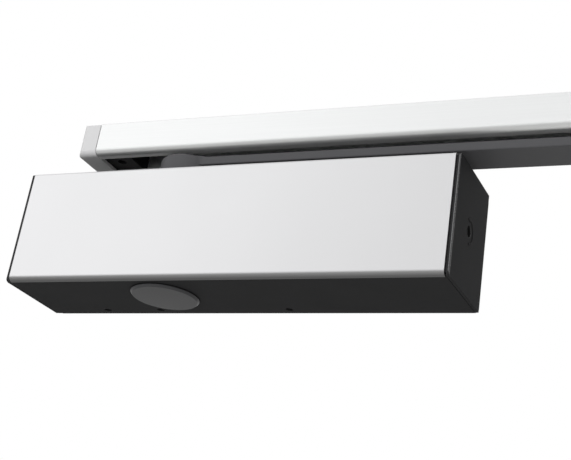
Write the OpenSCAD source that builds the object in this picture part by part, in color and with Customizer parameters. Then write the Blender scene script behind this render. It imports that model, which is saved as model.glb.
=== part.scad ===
// Overhead door closer with a slide arm and a guide rail.
// Origin: centre of the four fixing holes, on the face that lies on the door.
// +X runs along the body towards its spring end, +Y into the door, +Z up. Millimetres.

/* [Closer body] */
// Length of the body over its end caps
body_len = 241; // [237:1:280]
// Height of the body
body_h = 61.5; // [60.5:0.5:68]
// Depth from the door to the front of the fascia
body_depth = 52; // [51:0.5:60]
// Thickness of the steel mounting plate
plate_t = 2.5; // [2:0.1:3]
// Wall of the cover's top and bottom
cover_wall = 2.2; // [1.6:0.1:2.8]
// Thickness of the aluminium fascia
fascia_t = 1.5; // [1:0.1:1.8]
// Outer radius of the fascia's rolled lower edge
fascia_roll = 3; // [2.6:0.1:4]
// Outer radius of the fascia's upper edge
fascia_top_r = 1.9; // [1.8:0.1:3]
// Visible thickness of each end cap
end_cap_t = 1.6; // [1.2:0.1:3]
// How far the end caps stand behind the fascia
end_cap_setback = 0.5; // [0.3:0.1:1.5]
// Visible joint between the mounting plate and the cover
plate_seam = 0.3; // [0.1:0.1:1]
// How far the mounting plate stands inside the cover's outline
plate_inset = 0.8; // [0:0.1:1.4]
// Space between the housing and the cover
housing_gap = 0.5; // [0.3:0.1:1]
// Length of the end caps' spigots inside the cover
cap_spigot = 4; // [3:0.5:5]
// Space between the cast housing's ends and those spigots
housing_end_gap = 1.7; // [0.5:0.1:3]

/* [Cylinder and piston] */
// Bore of the hydraulic cylinder
cyl_d = 34; // [33:0.2:34.4]
// Length of each piston head
head_len = 14; // [10:0.5:20]
// Length of the springs in the closed position
spring_len = 70.8; // [60:0.2:76]
// Wire of the main spring
main_wire = 4; // [3:0.1:4.4]
// Turns of the main spring
main_turns = 8; // [6:1:9]
// Wire of the inner spring
inner_wire = 2.4; // [1.8:0.1:2.8]
// Turns of the inner spring
inner_turns = 11; // [8:1:13]
// Length of the threaded end plugs
plug_len = 11; // [9:0.5:13]
// Thickness of the adjustable spring seat
seat_t = 8; // [6:0.5:10]
// Thread of the spring adjusting screw
adjust_d = 8; // [6:0.5:9]
// Travel of the spring seat when the adjusting screw is turned
adjust_travel = 10; // [6:1:12]

/* [Spindle] */
// Spindle axis, from the middle of the body
spindle_x = -37; // [-45:1:-34]
// Spindle's axis, behind the front face
spindle_setback = 23; // [22:0.5:24]
// Tooth module of the pinion and rack
tooth_module = 2; // [1.9:0.05:2.05]
// Teeth of the pinion
pinion_teeth = 9; // [9:1:9]
// Height of the pinion's teeth
pinion_face = 21; // [16:1:22]
// Diameter of the spindle's journals
journal_d = 14; // [12.5:0.1:14]
// Square at both ends of the spindle, across flats
square_w = 9.8; // [8:0.1:9.8]
// Swing of the arm from closed to fully open
swing_deg = 150; // [120:5:165]
// Opening in the cover round the spindle
spindle_opening_d = 33.2; // [33:0.2:34]
// Cap over the unused end of the spindle
spindle_cap_d = 35.5; // [35.2:0.1:38]
// How far the cap stands out of the cover
spindle_cap_h = 2; // [1.6:0.1:4]

/* [Regulating valves] */
// Latching valve, from the housing's spindle end
latching_valve_inset = 29; // [27:0.5:34]
// Closing valve, from the spindle towards that end
closing_valve_offset = 14.5; // [12:0.5:20]
// Backcheck valve, from the spindle towards the spring end
backcheck_valve_offset = 60.3; // [50:0.1:70]
// Valve axis, from the door
valve_depth = 7.6; // [7.4:0.1:8]
// Thread of the valve screws
valve_d = 5.6; // [4.6:0.1:5.8]
// Holes in the cover below the valves
valve_window_d = 4; // [3:0.1:5]

/* [Arm] */
// Length of the arm between its pivots
arm_len = 285; // [260:1:300]
// Width of the arm
arm_w = 21; // [18:0.5:23]
// Thickness of the arm
arm_t = 4.8; // [4:0.1:6]
// Height of the arm above the body
arm_lift = 6.7; // [6:0.1:10]
// Diameter of the arm's hub
hub_d = 31.6; // [28:0.2:32]
// Diameter of the eye at the arm's free end
eye_d = 25; // [24:0.5:30]
// Diameter of the pivot stud
stud_d = 10; // [8:0.5:10.5]

/* [Guide rail] */
// Length of the rail over its caps
rail_len = 440; // [420:1:480]
// Depth of the rail
rail_w = 30; // [30:0.5:34]
// Height of the rail
rail_h = 18.4; // [17.6:0.2:22]
// Wall of the rail
rail_wall = 2; // [1.6:0.1:2.2]
// Slot along the underside of the rail
rail_slot = 17; // [16:0.5:18]
// Radius of the rail's lower edges
rail_edge_r = 3.5; // [1:0.1:3.6]
// Gap between the arm and the rail
rail_lift = 2.8; // [2.6:0.1:5]
// How far the rail reaches past the spindle, away from the arm
rail_reach = 63.4; // [50:0.2:80]
// Visible length of each rail cap
rail_cap_len = 11.4; // [11:0.1:14]
// Length of the slide block
block_len = 34; // [28:1:40]

/* [Fixings] */
// Fixing holes in the mounting plate
fix_hole_d = 5.5; // [4.5:0.1:5.6]
// Spacing of the fixing holes along the body
fix_dx = 192; // [188:1:194]
// Spacing of the fixing holes across the body
fix_dz = 45; // [44.6:0.1:45.6]
// Spacing along the body of the screws that join plate and housing
plate_screw_dx = 132; // [124:1:140]
// Thread of those screws
plate_screw_d = 5; // [4:0.5:5]
// Holes that fix the rail to the frame
rail_hole_d = 5.5; // [4.5:0.1:5.6]

/* [Hidden] */
$fn = 64;

// Clearances
seat_gap = 0.05;    // between two pieces that are fixed together
run_gap = 0.03;     // radial, of a journal, piston or screw in its bore
face_gap = 0.1;     // between faces that turn or slide on each other
slide_gap = 0.08;   // between the slide block and the rail
ring_gap = 0.02;    // round a ring seal in its groove
seam = 0.2;         // visible joint between the cover and its end caps
fascia_seam = 0.8;  // visible joint between the fascia and those caps
rail_seam = 0.4;    // visible joint between the rail and its caps
cap_shadow = 0.6;   // between the cover and the rim of the spindle cap
cut = 1;            // how far a cutting shape runs past a face

// Planes of the body
front_y = -body_depth;
back_y = -plate_t - seat_gap;
cover_back_y = -plate_t - plate_seam;
half_h = body_h / 2;
cover_half = body_len / 2 - end_cap_t - seam;
fascia_half = body_len / 2 - end_cap_t - fascia_seam;
fascia_back_y = front_y + fascia_roll;
shell_front_y = front_y + fascia_t + seat_gap;
shell_front_t = 1.3;
shell_inner_y = shell_front_y + shell_front_t;
shell_inner_z = half_h - cover_wall;
housing_len = 2 * (cover_half - cap_spigot - housing_end_gap);
housing_half = housing_len / 2;
housing_h2 = shell_inner_z - housing_gap;
housing_front_y = shell_inner_y + housing_gap;
axis_y = spindle_setback - body_depth;

// Spindle stack, from the middle of the body upwards
pinion_top = pinion_face / 2;
bearing_z0 = pinion_top + 0.5;
gland_z1 = housing_h2 - 5.15;
bearing_z1 = gland_z1 - 4.3;
gland_lip_z = bearing_z1 + 0.7;
recess_z = gland_z1 + face_gap;
square_top = half_h - 0.5;
recess_r = spindle_opening_d / 2 + 0.6;

// Pinion and rack: 25 degree pressure angle, profile shift against undercut
pressure_deg = 25;
shift = 0.3;
backlash = 0.1;
pitch_r = tooth_module * pinion_teeth / 2;
pinion_tip_r = pitch_r + (1.15 * tooth_module);
pinion_root_r = pitch_r - (1.25 - shift) * tooth_module;
rack_pitch = PI * tooth_module;
rack_ref_r = pitch_r + shift * tooth_module;
rack_tip_r = pitch_r - (1 - shift) * tooth_module;
rack_root_r = pinion_tip_r + 0.5;
rack_half_face = pinion_face / 2 + 0.25;
stroke = pitch_r * swing_deg * PI / 180;

// Bores round the spindle
bearing_r = pinion_tip_r + 0.2;
gland_r = bearing_r + 1;
seal_r = gland_r - 1.5;

// Piston, in the closed position
cyl_r = cyl_d / 2;
piston_r = cyl_r - run_gap;
window_end = bearing_r + 0.7;
window_x1 = spindle_x + window_end;
window_x0 = spindle_x - window_end - stroke;
window_back = pinion_tip_r + 0.8;
piston_x0 = window_x0 - head_len;
piston_x1 = window_x1 + head_len;
valve_hole_r = 3.5;
ball_r = 2.7;
ball_seat_len = 5;
valve_bore_r = 1.6;
valve_sunk = 0.3;
jet_r = 0.6;
small_hex = 2.5;
large_hex = 5;
socket_depth = 3;

// Springs and adjustment
boss_len = 3;
seat_x0 = piston_x1 + spring_len;
seat_x1 = seat_x0 + seat_t;
main_mean_r = cyl_r - 1.6 - main_wire / 2;
inner_mean_r = main_mean_r - main_wire / 2 - inner_wire / 2 - 1;
boss_r = inner_mean_r - inner_wire / 2 - 0.5;
plug_r = cyl_r + 1;
plug_x1 = housing_half - 0.5;
plug_x0 = plug_x1 - plug_len;
collar_r = adjust_d / 2 + 3;
collar_len = 3;
adjust_journal_r = adjust_d / 2 + 1;
adjust_head_r = 2.35;
adjust_head_x = body_len / 2 - 1.6;
adjust_tip_x = seat_x0 - adjust_travel - 3;
adjust_window_d = 5.6;

// Ring seals
seal_wire = 1.8;

// Valves
valve_xs = [
    -housing_half + latching_valve_inset,
    spindle_x - closing_valve_offset,
    spindle_x + backcheck_valve_offset
];
valve_r = valve_d / 2;
valve_z0 = -housing_h2 + 0.4;
valve_thread_len = 6;
valve_stem_r = valve_r - 1;
valve_stem_len = 7;
valve_tip_len = 2.6;
valve_y = -valve_depth;
gallery_z = valve_z0 + valve_thread_len + valve_stem_len + 1;
gallery_r = 1.4;
gallery_mouth_r = 2.2;
gallery_mouth_len = 5;

// Arm
arm_z0 = half_h + arm_lift;
arm_z1 = arm_z0 + arm_t;
arm_edge_r = 0.8;
hub_r = hub_d / 2;
hub_z0 = recess_z + 0.4;
arm_screw_r = 3;
arm_screw_head_r = 5;
arm_screw_head_h = 6;
head_seat_z = arm_z1 - arm_screw_head_h - 0.2;
head_top_z = head_seat_z + arm_screw_head_h;
arm_screw_len = 22;
screw_end_z = head_seat_z - arm_screw_len;
eye_x = spindle_x + arm_len;
bush_r = stud_d / 2 + 2;
washer_t = 1.4;

// Guide rail
rail_z0 = arm_z1 + rail_lift;
rail_z1 = rail_z0 + rail_h;
rail_x0 = spindle_x - rail_reach;
rail_x1 = rail_x0 + rail_len;
rail_mid_z = (rail_z0 + rail_z1) / 2;
extrusion_x0 = rail_x0 + rail_cap_len;
extrusion_x1 = rail_x1 - rail_cap_len;
cavity_w = rail_w - 2 * rail_wall;
cavity_h = rail_h - 2 * rail_wall;
cavity_z0 = rail_z0 + rail_wall;
rail_top_r = 1.2;
fixing_in = 16;
fixing_out = rail_cap_len - 2;
rail_hole_x = rail_cap_len / 2 - 0.6;
clamp_d = 5;
clamp_len = 0.65 * rail_h;
rail_head_d = rail_hole_d + 3.2;
rail_tongue_t = 9;
neck_z0 = arm_z1 + face_gap + washer_t + seat_gap;

// Plain helpers

// Solid rod from x0 to x1 on the line y, z
module rod_x(r, x0, x1, y = 0, z = 0) {
    translate([x0, y, z]) rotate([0, 90, 0]) cylinder(r = r, h = x1 - x0);
}

// Solid rod from y0 to y1 on the line x, z
module rod_y(r, y0, y1, x = 0, z = 0) {
    translate([x, y0, z]) rotate([-90, 0, 0]) cylinder(r = r, h = y1 - y0);
}

// Solid rod from z0 to z1 on the line x, y
module rod_z(r, z0, z1, x = 0, y = 0) {
    translate([x, y, z0]) cylinder(r = r, h = z1 - z0);
}

// Radius of the groove that such a ring lies in
function groove_r(bore_r, wire) = bore_r - wire - 2 * ring_gap;

// Width of that groove
function groove_w(wire) = wire + 0.2;

// Extrudes a profile drawn in Y and Z from x0 to x1
module along_x(x0, x1) {
    translate([x0, 0, 0]) rotate([90, 0, 90]) linear_extrude(x1 - x0) children();
}

// Rectangle w by h about the origin with true round corners
module round_rect(w, h, r) {
    square([w - 2 * r, h], center = true);
    square([w, h - 2 * r], center = true);
    for (sx = [-1, 1], sy = [-1, 1])
        translate([sx * (w / 2 - r), sy * (h / 2 - r)]) circle(r);
}

// What is cut off a square corner at the origin to round it to radius r
module corner_waste(r) {
    difference() {
        translate([-cut, -cut]) square(r + cut);
        translate([r, r]) circle(r);
    }
}

// Washer or ring between two radii
module ring_z(r_out, r_in, z0, z1) {
    difference() {
        rod_z(r_out, z0, z1);
        rod_z(r_in, z0 - cut, z1 + cut);
    }
}

// Ring seal with its axis along Z that fills a bore, centred at height z
module o_ring(bore_r, wire, z = 0) {
    translate([0, 0, z]) rotate_extrude()
        translate([bore_r - ring_gap - wire / 2, 0]) circle(wire / 2, $fn = 24);
}

// Hexagon socket, across flats w, open towards +Z
module hex_socket(w, z0, z1) {
    translate([0, 0, z0]) cylinder(d = w / cos(30), h = z1 - z0, $fn = 6);
}

// The four corners of a rectangle about the body's middle
module at_corners(dx, dz) {
    for (sx = [-1, 1], sz = [-1, 1])
        translate([sx * dx / 2, 0, sz * dz / 2]) children();
}

// Places a piece that is drawn on the Z axis on the spindle
module on_spindle() {
    translate([spindle_x, axis_y, 0]) children();
}

// Turns a piece drawn along Z to lie along X on the cylinder's axis
module on_cylinder() {
    translate([0, axis_y, 0]) rotate([0, 90, 0]) children();
}

// Mounting plate and its screws

plate_screw_dz = fix_dz;
fix_hole_gap = 0.5;
fix_head_d = 10;
fix_head_h = 6;
plate_head_d = 2 * plate_screw_d - 0.6;
plate_head_h = (plate_head_d - plate_screw_d) / 2;
plate_screw_len = 12;

module plate_screw_form(grow) {
    rotate([90, 0, 0]) rotate_extrude() polygon([
        [0, 0],
        [plate_head_d / 2 + grow, 0],
        [plate_screw_d / 2 + grow, plate_head_h],
        [plate_screw_d / 2 + grow, plate_screw_len + grow],
        [0, plate_screw_len + grow]
    ]);
}

module mounting_plate() {
    window_w = 40;
    window_h = 26;
    window_pitch = 52;
    color("silver") difference() {
        rotate([90, 0, 0]) linear_extrude(plate_t)
            round_rect(body_len - 2 * plate_inset, body_h - 2 * plate_inset, 2);
        at_corners(fix_dx, fix_dz) rod_y(fix_hole_d / 2, -plate_t - cut, cut);
        at_corners(plate_screw_dx, plate_screw_dz) plate_screw_form(seat_gap);
        for (i = [-1 : 1])
            translate([i * window_pitch, cut, 0]) rotate([90, 0, 0])
                linear_extrude(plate_t + 2 * cut) round_rect(window_w, window_h, 6);
    }
}

module plate_screws() {
    color("dimgray") at_corners(plate_screw_dx, plate_screw_dz) difference() {
        plate_screw_form(0);
        translate([0, cut, 0]) rotate([90, 0, 0])
            hex_socket(0.6 * plate_screw_d, 0, plate_head_h + cut);
    }
}

// Housing: the casting that holds the cylinder, the spindle bearings and the valves

module housing_blank() {
    depth = back_y - housing_front_y;
    edge_r = 2.5;
    along_x(-housing_half, housing_half)
        translate([housing_front_y + depth / 2, 0]) round_rect(depth, 2 * housing_h2, edge_r);
}

// Cast pockets that lighten the top and bottom over the spring chamber
module housing_pockets() {
    pocket_len = 15;
    pocket_w = 24;
    corner_r = 3;
    floor_t = 5;
    web = 4;
    first_x = piston_x1 + 1.5 * pocket_len;
    pocket_depth = housing_h2 - cyl_r - floor_t;
    for (side = [-1, 1], i = [0 : 3])
        translate([first_x + i * (pocket_len + web), axis_y, side * housing_h2])
            linear_extrude(2 * pocket_depth, center = true) round_rect(pocket_len, pocket_w, corner_r);
}

// Bores for the spindle, its bearings, glands and the arm's hub
module spindle_bores() {
    on_spindle() {
        rod_z(bearing_r, -bearing_z1 - seat_gap, bearing_z1 + seat_gap);
        for (up = [0, 1]) mirror([0, 0, up]) {
            rod_z(gland_r, bearing_z1, recess_z + cut);
            rod_z(recess_r, recess_z, housing_h2 + cut);
        }
    }
}

module valve_bores() {
    shoulder_z = valve_z0 + valve_thread_len + seal_wire + 0.4;
    stem_gap = 0.3;
    port_r = 1;
    for (x = valve_xs) {
        rod_z(valve_r + run_gap, -housing_h2 - cut, shoulder_z, x, valve_y);
        rod_z(valve_stem_r + stem_gap, shoulder_z - cut, gallery_z + gallery_r, x, valve_y);
        rod_y(port_r, axis_y, valve_y, x, gallery_z);
    }
    rod_x(gallery_r, -housing_half - cut, max(valve_xs), valve_y, gallery_z);
    rod_x(gallery_mouth_r, -housing_half - cut, -housing_half + gallery_mouth_len, valve_y, gallery_z);
}

module housing() {
    color("darkgray") difference() {
        housing_blank();
        housing_pockets();
        rod_x(cyl_r, -housing_half - cut, housing_half + cut, axis_y);
        for (side = [0, 1]) mirror([side, 0, 0])
            rod_x(plug_r, plug_x0 - face_gap, housing_half + cut, axis_y);
        spindle_bores();
        valve_bores();
        at_corners(fix_dx, fix_dz) {
            rod_y(fix_hole_d / 2 + fix_hole_gap, housing_front_y - cut, 0);
            rod_y(fix_head_d / 2, housing_front_y - cut, housing_front_y + fix_head_h);
        }
        at_corners(plate_screw_dx, plate_screw_dz) plate_screw_form(seat_gap);
    }
}

// Steel ball pressed into the mouth of the drilled oil gallery
module gallery_ball() {
    r = gallery_mouth_r - seat_gap;
    sunk = 0.4;
    color("silver") translate([-housing_half + sunk + r, valve_y, gallery_z]) sphere(r);
}

// End plugs of the cylinder

plug_groove_x = 3;
plug_hex = 14;
plug_hex_depth = 6;
plug_pin_r = 1.8;
plug_pin_depth = 5;

module plug_blank(chamfer = 0.8) {
    r = plug_r - seat_gap;
    floor_r = groove_r(plug_r, seal_wire);
    g0 = plug_groove_x - groove_w(seal_wire) / 2;
    g1 = plug_groove_x + groove_w(seal_wire) / 2;
    rotate_extrude() polygon([
        [0, 0], [r - chamfer, 0], [r, chamfer], [r, g0], [floor_r, g0], [floor_r, g1], [r, g1],
        [r, plug_len - chamfer], [r - chamfer, plug_len], [0, plug_len]
    ]);
}

module left_end_plug() {
    color("gray") translate([0, axis_y, 0]) mirror([1, 0, 0]) translate([plug_x0, 0, 0])
        rotate([0, 90, 0]) difference() {
            plug_blank();
            hex_socket(plug_hex, plug_len - plug_hex_depth, plug_len + cut);
        }
}

module right_end_plug() {
    pin_circle = plug_r * 0.66;
    color("gray") on_cylinder() translate([0, 0, plug_x0]) difference() {
        plug_blank();
        rod_z(adjust_journal_r + run_gap, -cut, plug_len + cut);
        for (a = [0 : 90 : 270]) rotate([0, 0, a])
            rod_z(plug_pin_r, plug_len - plug_pin_depth, plug_len + cut, pin_circle);
    }
}

module plug_seals() {
    color("black") for (side = [0, 1]) mirror([side, 0, 0])
        translate([plug_x0 + plug_groove_x, axis_y, 0]) rotate([0, 90, 0]) o_ring(plug_r, seal_wire);
}

// Spindle bearings, gland rings and shaft seals: one set above and one below

module needle_bearing() {
    r_out = bearing_r - seat_gap;
    r_in = journal_d / 2 + run_gap;
    ring_z(r_out, r_in, bearing_z0, bearing_z1);
}

module gland_ring() {
    lip_r = journal_d / 2 + 1;
    notch_w = 2.4;
    notch_h = 1.2;
    difference() {
        ring_z(gland_r - seat_gap, seal_r, bearing_z1 + seat_gap, gland_z1);
        for (a = [0 : 60 : 300]) rotate([0, 0, a])
            translate([seal_r - cut, -notch_w / 2, gland_z1 - notch_h])
                cube([gland_r - seal_r + 0.3, notch_w, notch_h + cut]);
    }
    ring_z(seal_r + seat_gap, lip_r, bearing_z1 + seat_gap, gland_lip_z);
}

module shaft_seal() {
    z0 = gland_lip_z + seat_gap;
    z1 = gland_z1 - 1.4;
    r_out = seal_r - seat_gap;
    r_in = journal_d / 2 + run_gap;
    wall = 0.9;
    rotate_extrude() polygon([
        [r_out, z0], [r_out, z1], [r_out - wall, z1],
        [r_in + 1.3 * wall, z0 + 1.3 * wall], [r_in + wall, z1], [r_in, z1], [r_in, z0]
    ]);
}

module upper_bearing() { color("lightsteelblue") on_spindle() needle_bearing(); }
module lower_bearing() { color("lightsteelblue") on_spindle() mirror([0, 0, 1]) needle_bearing(); }
module upper_gland_ring() { color("slategray") on_spindle() gland_ring(); }
module lower_gland_ring() { color("slategray") on_spindle() mirror([0, 0, 1]) gland_ring(); }
module upper_shaft_seal() { color("black") on_spindle() shaft_seal(); }
module lower_shaft_seal() { color("black") on_spindle() mirror([0, 0, 1]) shaft_seal(); }

// Spindle: an involute pinion between two journals, with a square at each end

function involute_deg(base_r, r) =
    let (a = acos(min(1, base_r / r))) tan(a) * 180 / PI - a;

module pinion_profile(steps = 7) {
    base_r = pitch_r * cos(pressure_deg);
    tooth_w = rack_pitch / 2 + 2 * shift * tooth_module * tan(pressure_deg) - backlash;
    half_base = tooth_w / (2 * pitch_r) * 180 / PI + involute_deg(base_r, pitch_r);
    flank = [for (i = [0 : steps])
        let (r = base_r + (pinion_tip_r - base_r) * i / steps, a = half_base - involute_deg(base_r, r))
        [r * cos(a), r * sin(a)]];
    foot_r = pinion_root_r - 0.5;
    foot = [foot_r * cos(half_base), foot_r * sin(half_base)];
    upper = concat([foot], flank);
    lower = [for (i = [len(upper) - 1 : -1 : 0]) [upper[i].x, -upper[i].y]];
    circle(pinion_root_r);
    for (k = [0 : pinion_teeth - 1])
        rotate(-90 + k * 360 / pinion_teeth) polygon(concat(upper, lower));
}

module spindle() {
    color("lightgray") on_spindle() difference() {
        union() {
            linear_extrude(pinion_face, center = true) pinion_profile();
            rod_z(journal_d / 2, -gland_z1, gland_z1);
            linear_extrude(2 * square_top, center = true)
                square(square_w, center = true);
        }
        for (up = [0, 1]) mirror([0, 0, up])
            rod_z(arm_screw_r, screw_end_z - 1, square_top + cut);
    }
}

// Piston: two heads joined by side walls round a window; the rack is cut in the front wall

module rack_tooth(k) {
    x = spindle_x + (k + 0.5) * rack_pitch;
    half_tip = rack_pitch / 4 + (rack_tip_r - rack_ref_r) * tan(pressure_deg);
    half_root = rack_pitch / 4 + (rack_root_r - rack_ref_r) * tan(pressure_deg);
    polygon([
        [x - half_tip, axis_y - rack_tip_r], [x + half_tip, axis_y - rack_tip_r],
        [x + half_root, axis_y - rack_root_r - 0.2], [x - half_root, axis_y - rack_root_r - 0.2]
    ]);
}

module piston_window() {
    first = floor((window_x0 - spindle_x) / rack_pitch - 0.5) + 1;
    last = floor((window_x1 - spindle_x) / rack_pitch - 0.5);
    difference() {
        linear_extrude(2 * cyl_d, center = true) translate([window_x0, axis_y - rack_root_r])
            square([window_x1 - window_x0, rack_root_r + window_back]);
        linear_extrude(2 * rack_half_face, center = true)
            for (k = [first : last]) rack_tooth(k);
    }
}

module piston() {
    land = 1;
    groove_depth = 0.5;
    color("goldenrod") difference() {
        union() {
            rod_x(piston_r, piston_x0, piston_x1, axis_y);
            rod_x(boss_r, piston_x1 - cut, piston_x1 + boss_len, axis_y);
        }
        piston_window();
        for (x = [piston_x0 + 3 * land, piston_x0 + 6 * land, piston_x1 - 5 * land]) difference() {
            rod_x(cyl_r + cut, x, x + land, axis_y);
            rod_x(piston_r - groove_depth, x - cut, x + land + cut, axis_y);
        }
        rod_x(valve_hole_r, piston_x0 - cut, window_x0 + cut, axis_y);
        rod_y(check_pin_r, axis_y - check_pin_half - seat_gap, axis_y + check_pin_half + seat_gap,
            check_pin_x, 0);
        rod_x(valve_hole_r, window_x1 - cut, piston_x1 + boss_len + cut, axis_y);
    }
}

check_ball_x = piston_x0 + ball_seat_len + sqrt(pow(ball_r, 2) - pow(valve_bore_r, 2)) + seat_gap;
check_pin_r = 0.8;
check_pin_half = valve_hole_r + 3;
check_pin_x = check_ball_x + ball_r + check_pin_r + seat_gap;

// Brass seat of the check valve in the left head
module check_valve_seat() {
    color("gold") on_cylinder()
        ring_z(valve_hole_r - seat_gap, valve_bore_r, piston_x0 + valve_sunk, piston_x0 + ball_seat_len);
}

module check_valve_ball() {
    color("silver") translate([check_ball_x, axis_y, 0]) sphere(ball_r);
}

module check_valve_pin() {
    color("silver")
        rod_y(check_pin_r - seat_gap, axis_y - check_pin_half, axis_y + check_pin_half, check_pin_x, 0);
}

// Brass relief valve in the right head
module relief_valve() {
    color("gold") on_cylinder() difference() {
        rod_z(valve_hole_r - seat_gap, window_x1 + valve_sunk, piston_x1 + boss_len - valve_sunk);
        rod_z(valve_bore_r, window_x1, piston_x1 - boss_len / 2);
        rod_z(jet_r, window_x1, piston_x1 + boss_len + cut);
        hex_socket(small_hex, piston_x1 + boss_len / 4, piston_x1 + boss_len + cut);
    }
}

// Springs: round wire with one closed turn at each end

// Place along the spring at turn t
function coil_place(t, turns, wire, length) =
    let (closed = wire * 1.03, open = (length - wire - 2 * closed) / (turns - 2))
    t < 1 ? t * closed : t > turns - 1 ? closed + (turns - 2) * open + (t - turns + 1) * closed
        : closed + (t - 1) * open;

module coil_spring(mean_r, wire, turns, length, per_turn, sides) {
    rings = turns * per_turn;
    points = [for (i = [0 : rings], s = [0 : sides - 1])
        let (t = i / per_turn, a = 360 * t, b = 360 * s / sides, r = mean_r + wire / 2 * cos(b))
        [coil_place(t, turns, wire, length) + wire / 2 * (1 + sin(b)), r * cos(a), r * sin(a)]];
    walls = [for (i = [0 : rings - 1], s = [0 : sides - 1])
        let (n = (s + 1) % sides, p = i * sides)
        [p + s, p + n, p + sides + n, p + sides + s]];
    first_end = [for (s = [sides - 1 : -1 : 0]) s];
    last_end = [for (s = [0 : sides - 1]) rings * sides + s];
    polyhedron(points, concat(walls, [first_end, last_end]));
}

module main_spring() {
    color("steelblue") translate([piston_x1 + seat_gap, axis_y, 0])
        coil_spring(main_mean_r, main_wire, main_turns, spring_len - 2 * seat_gap, 18, 8);
}

module inner_spring() {
    color("lightblue") translate([piston_x1 + seat_gap, axis_y, 0]) mirror([0, 1, 0])
        coil_spring(inner_mean_r, inner_wire, inner_turns, spring_len - 2 * seat_gap, 14, 6);
}

// Spring seat: a nut plate that the adjusting screw draws along the cylinder
module spring_seat() {
    color("gray") difference() {
        union() {
            rod_x(piston_r, seat_x0, seat_x1, axis_y);
            rod_x(boss_r, seat_x0 - boss_len, seat_x0 + cut, axis_y);
        }
        rod_x(adjust_d / 2 + run_gap, seat_x0 - boss_len - cut, seat_x1 + cut, axis_y);
        for (a = [45 : 90 : 315]) translate([0, axis_y, 0]) rotate([a, 0, 0])
            rod_x(1.5, seat_x0 - cut, seat_x1 + cut, boss_r + 3);
    }
}

// Adjusting screw: thread, thrust collar, journal in the plug, and a head behind the end cap
module adjusting_screw() {
    thread_r = adjust_d / 2;
    floor_r = groove_r(adjust_journal_r + run_gap, seal_wire);
    g0 = plug_x0 + (plug_len - groove_w(seal_wire)) / 2;
    g1 = g0 + groove_w(seal_wire);
    color("dimgray") on_cylinder() difference() {
        rotate_extrude() polygon([
            [0, adjust_tip_x], [thread_r - 1, adjust_tip_x], [thread_r, adjust_tip_x + 1],
            [thread_r, plug_x0 - collar_len - face_gap], [collar_r, plug_x0 - collar_len - face_gap],
            [collar_r, plug_x0 - face_gap], [adjust_journal_r, plug_x0 - face_gap],
            [adjust_journal_r, g0], [floor_r, g0], [floor_r, g1], [adjust_journal_r, g1],
            [adjust_journal_r, plug_x1], [adjust_head_r, plug_x1], [adjust_head_r, adjust_head_x - 0.5],
            [adjust_head_r - 0.5, adjust_head_x], [0, adjust_head_x]
        ]);
        hex_socket(small_hex, adjust_head_x - socket_depth, adjust_head_x + cut);
    }
}

module adjusting_screw_seal() {
    color("black") translate([plug_x0 + plug_len / 2, axis_y, 0]) rotate([0, 90, 0])
        o_ring(adjust_journal_r + run_gap, seal_wire);
}

// Regulating valve: socket head, thread, ring groove and needle, screwed in from below
module regulating_valve(i) {
    stem_z = valve_z0 + valve_thread_len;
    neck_z = stem_z + groove_w(seal_wire);
    floor_r = groove_r(valve_r + run_gap, seal_wire);
    tip_z = stem_z + valve_stem_len;
    color("silver") translate([valve_xs[i], valve_y, 0]) difference() {
        rotate_extrude() polygon([
            [0, valve_z0], [valve_r - 0.4, valve_z0], [valve_r, valve_z0 + 0.4], [valve_r, stem_z],
            [floor_r, stem_z], [floor_r, neck_z],
            [valve_stem_r, neck_z], [valve_stem_r, tip_z - valve_tip_len], [0, tip_z]
        ]);
        hex_socket(small_hex, valve_z0 - cut, valve_z0 + socket_depth);
    }
}

module latching_valve() { regulating_valve(0); }
module closing_valve() { regulating_valve(1); }
module backcheck_valve() { regulating_valve(2); }

module valve_seals() {
    stem_z = valve_z0 + valve_thread_len;
    color("black") for (x = valve_xs) translate([x, valve_y, 0])
        o_ring(valve_r + run_gap, seal_wire, stem_z + groove_w(seal_wire) / 2);
}

// Cover: fascia outline in Y and Z, set in by a distance, from the front to a given depth
module cover_outline(inset, to_y) {
    y0 = front_y + inset;
    z1 = half_h - inset;
    low_r = fascia_roll - inset;
    top_r = fascia_top_r - inset;
    difference() {
        translate([y0, -z1]) square([to_y - y0, 2 * z1]);
        if (low_r > 0) translate([y0, -z1]) corner_waste(low_r);
        if (top_r > 0) translate([y0, z1]) mirror([0, 1]) corner_waste(top_r);
    }
}

module cover_cavity() {
    translate([shell_inner_y, -shell_inner_z]) square([body_depth, 2 * shell_inner_z]);
}

module cover_shell() {
    seam_y = fascia_back_y + seat_gap;
    color([0.16, 0.16, 0.17]) difference() {
        union() {
            along_x(-cover_half, cover_half) difference() {
                union() {
                    cover_outline(fascia_t + seat_gap, cover_back_y);
                    translate([seam_y, -half_h]) square([cover_back_y - seam_y, body_h]);
                }
                cover_cavity();
            }
            shell_ribs();
        }
        on_spindle() rod_z(spindle_opening_d / 2, -half_h - cut, half_h + cut);
        for (x = valve_xs) rod_z(valve_window_d / 2, -half_h - cut, 0, x, valve_y);
    }
}

// Locating ribs inside the cover's top and bottom walls, in line with the housing
module shell_ribs() {
    count = 9;
    rib_w = 1.6;
    rib_len = 6;
    rib_h = housing_gap - face_gap;
    root = 0.2;
    end_space = 13;
    first_x = -housing_half + end_space;
    pitch = -2 * first_x / (count - 1);
    for (side = [0, 1], i = [0 : count - 1]) mirror([0, 0, side])
        translate([first_x + i * pitch - rib_w / 2, shell_inner_y, shell_inner_z - rib_h])
            cube([rib_w, rib_len, rib_h + root]);
}

module front_fascia() {
    color("whitesmoke") along_x(-fascia_half, fascia_half) difference() {
        cover_outline(0, fascia_back_y);
        cover_outline(fascia_t, fascia_back_y + cut);
    }
}

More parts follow.
